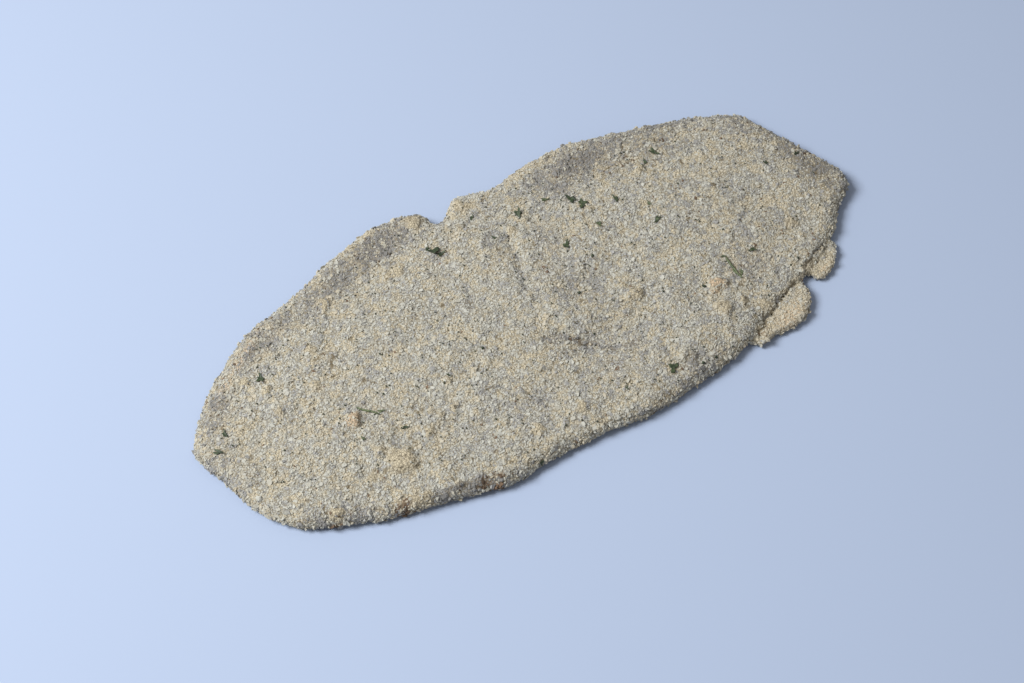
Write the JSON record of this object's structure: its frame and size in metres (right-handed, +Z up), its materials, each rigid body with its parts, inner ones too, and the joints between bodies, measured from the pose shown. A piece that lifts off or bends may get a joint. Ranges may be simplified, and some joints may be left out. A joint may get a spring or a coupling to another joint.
{
  "type": "schnitzel",
  "caption": "Long flat raw cutlet in a dry breadcrumb coating with herb flecks, its rim curled and notched on one side and its coating torn into low tabs at one corner.",
  "frame": {"origin": "middle of the box's base, on the surface that the schnitzel lies on", "axes": "+X along its length towards the broad end, +Y across it towards the notched side, +Z up through its thickness"},
  "size_m": [0.2796, 0.1246, 0.0097],
  "materials": {
    "breadcrumb_coating": "dry cream and pale gold breadcrumbs, matt and rough",
    "toasted_crumb": "golden to brown toasted crumbs, matt",
    "parsley": "dried dark green leaf flakes and stems, matt"
  },
  "bodies": {
    "root": {"schnitzel": "breadcrumb_coating"}
  },
  "joints": []
}
